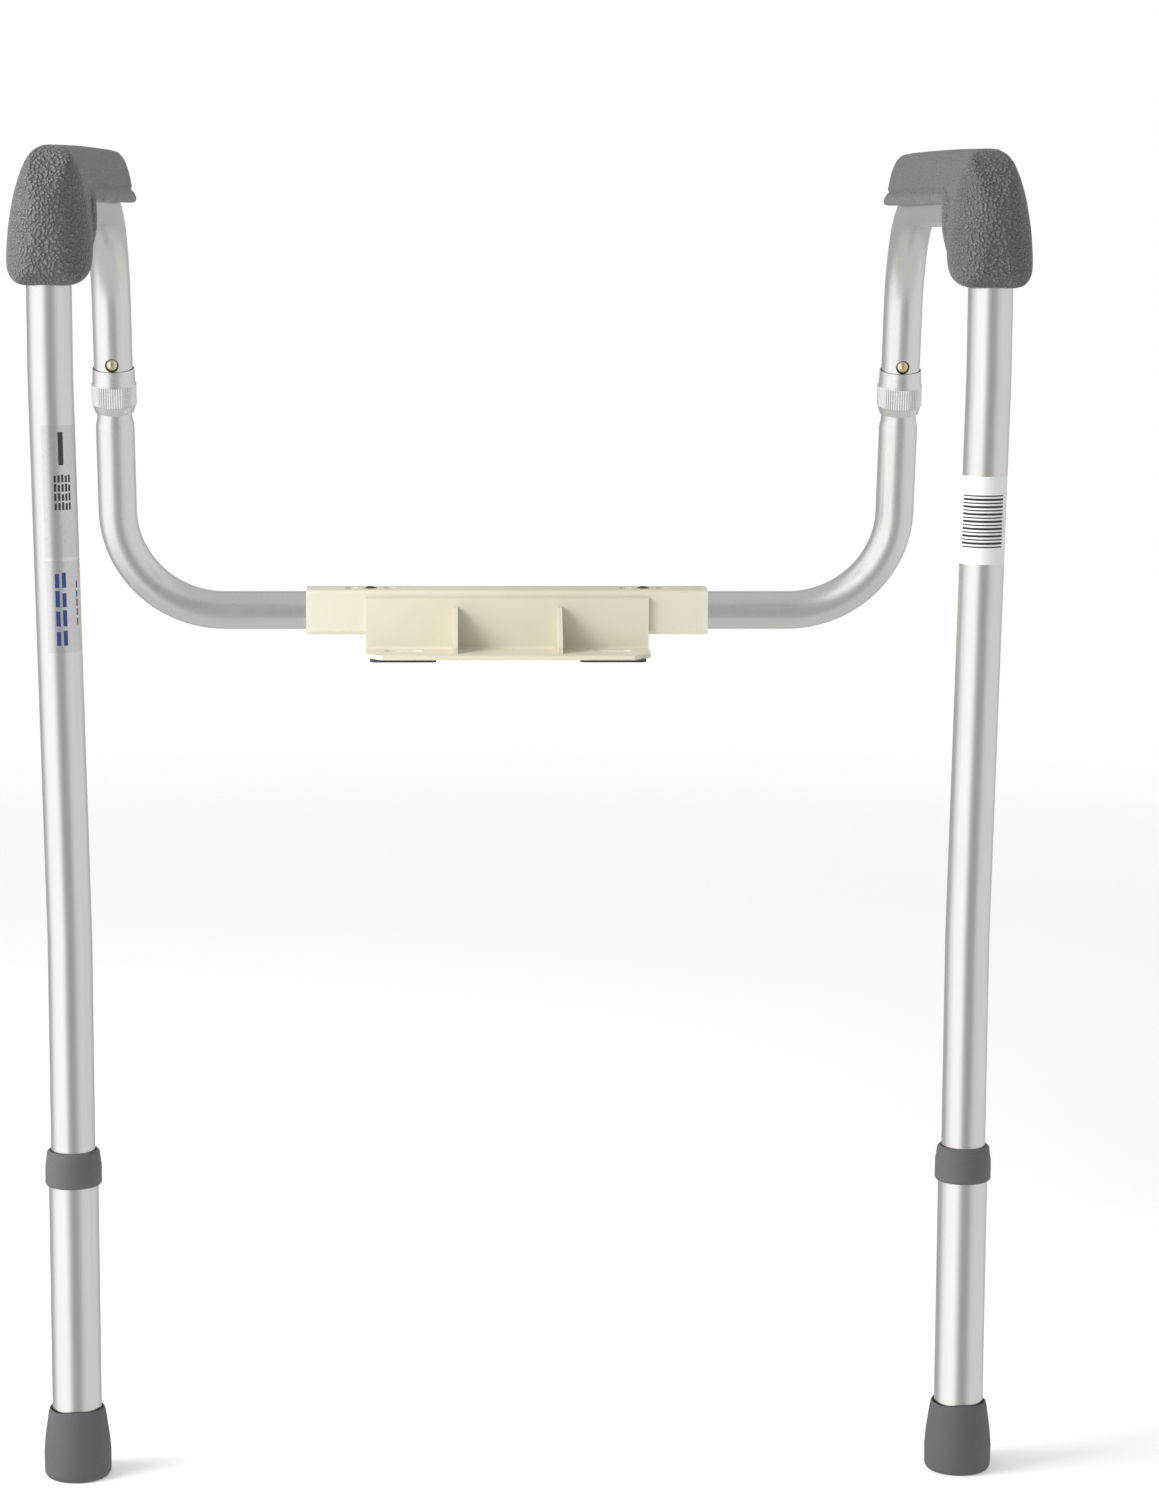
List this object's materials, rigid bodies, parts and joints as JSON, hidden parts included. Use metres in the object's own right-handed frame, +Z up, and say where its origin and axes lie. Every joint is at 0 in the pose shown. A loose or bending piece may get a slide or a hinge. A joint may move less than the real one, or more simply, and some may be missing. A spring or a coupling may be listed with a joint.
{
  "type": "toilet safety frame",
  "caption": "Two padded tubular arms that plug into a bracket under a toilet seat, each with a height-adjustable front leg on a rubber foot.",
  "frame": {"origin": "centre of the seat bolt pattern on the underside of the bracket plate", "axes": "+Z up, +Y back towards the cistern, +X to the right of a person facing the toilet"},
  "size_m": [0.578, 0.4587, 0.768],
  "materials": {
    "anodised_aluminium": "satin anodised",
    "turned_aluminium": "turned and knurled, satin",
    "ivory_powder_coat": "fine powder coat",
    "ivory_plastic": "moulded, satin",
    "armrest_vinyl": "moulded with a pebble grain",
    "grey_plastic": "moulded, satin",
    "grey_rubber": "moulded",
    "pad_rubber": "flat sheet",
    "white_nylon": "moulded",
    "brass_plate": "polished",
    "spring_steel": "plain",
    "zinc_steel": "zinc plated"
  },
  "bodies": {
    "bracket": {"bracket_plate": "ivory_powder_coat", "bracket_tube": "ivory_powder_coat", "bracket_gussets": "ivory_powder_coat", "bracket_pads": "pad_rubber", "bush_left": "ivory_plastic", "bush_right": "ivory_plastic"},
    "arm_left": {"j_tube_left": "anodised_aluminium", "arm_spring_left": "spring_steel", "lock_ring_left": "white_nylon", "arm_tube_left": "anodised_aluminium", "armrest_left": "armrest_vinyl"},
    "arm_right": {"j_tube_right": "anodised_aluminium", "arm_spring_right": "spring_steel", "lock_ring_right": "white_nylon", "arm_tube_right": "anodised_aluminium", "armrest_right": "armrest_vinyl"},
    "width_clip_left": {"width_clip_left": "brass_plate"},
    "arm_button_left": {"arm_button_left": "brass_plate"},
    "lock_collar_left": {"lock_collar_left": "turned_aluminium"},
    "leg_clip_left": {"leg_clip_left": "brass_plate"},
    "leg_left": {"leg_extension_left": "anodised_aluminium", "leg_collar_left": "grey_plastic", "foot_left": "grey_rubber", "foot_washer_left": "zinc_steel"},
    "width_clip_right": {"width_clip_right": "brass_plate"},
    "arm_button_right": {"arm_button_right": "brass_plate"},
    "lock_collar_right": {"lock_collar_right": "turned_aluminium"},
    "leg_clip_right": {"leg_clip_right": "brass_plate"},
    "leg_right": {"leg_extension_right": "anodised_aluminium", "leg_collar_right": "grey_plastic", "foot_right": "grey_rubber", "foot_washer_right": "zinc_steel"}
  },
  "joints": [
    {"name": "arm_width_left", "type": "slide", "parent": "bracket", "child": "arm_left", "axis": [-1, 0, 0], "range_m": [-0.0127, 0.0127]},
    {"name": "width_button_left", "type": "slide", "parent": "arm_left", "child": "width_clip_left", "axis": [0, 0, -1], "range_m": [0, 0.0037], "stiffness_N_per_m": 2500, "deforming": ["width_clip_left"]},
    {"name": "arm_button_left_press", "type": "slide", "parent": "arm_left", "child": "arm_button_left", "axis": [0, 0.9781, 0.2079], "range_m": [0, 0.0038], "stiffness_N_per_m": 2500, "deforming": ["arm_spring_left"]},
    {"name": "lock_collar_left_turn", "type": "hinge", "parent": "arm_left", "child": "lock_collar_left", "pos_m": [-0.26, -0.00191, 0.17715], "axis": [0, 0.2079, -0.9781], "range_deg": [0, 270]},
    {"name": "leg_button_left", "type": "slide", "parent": "arm_left", "child": "leg_clip_left", "axis": [0, -1, 0], "range_m": [0, 0.003], "stiffness_N_per_m": 2500, "deforming": ["leg_clip_left"]},
    {"name": "leg_height_left", "type": "slide", "parent": "arm_left", "child": "leg_left", "axis": [0, 0, 1], "range_m": [0, 0.1016]},
    {"name": "arm_width_right", "type": "slide", "parent": "bracket", "child": "arm_right", "axis": [1, 0, 0], "range_m": [-0.0127, 0.0127]},
    {"name": "width_button_right", "type": "slide", "parent": "arm_right", "child": "width_clip_right", "axis": [0, 0, -1], "range_m": [0, 0.0037], "stiffness_N_per_m": 2500, "deforming": ["width_clip_right"]},
    {"name": "arm_button_right_press", "type": "slide", "parent": "arm_right", "child": "arm_button_right", "axis": [0, 0.9781, 0.2079], "range_m": [0, 0.0038], "stiffness_N_per_m": 2500, "deforming": ["arm_spring_right"]},
    {"name": "lock_collar_right_turn", "type": "hinge", "parent": "arm_right", "child": "lock_collar_right", "pos_m": [0.26, -0.00191, 0.17715], "axis": [0, 0.2079, -0.9781], "range_deg": [0, 270]},
    {"name": "leg_button_right", "type": "slide", "parent": "arm_right", "child": "leg_clip_right", "axis": [0, -1, 0], "range_m": [0, 0.003], "stiffness_N_per_m": 2500, "deforming": ["leg_clip_right"]},
    {"name": "leg_height_right", "type": "slide", "parent": "arm_right", "child": "leg_right", "axis": [0, 0, 1], "range_m": [0, 0.1016]}
  ]
}
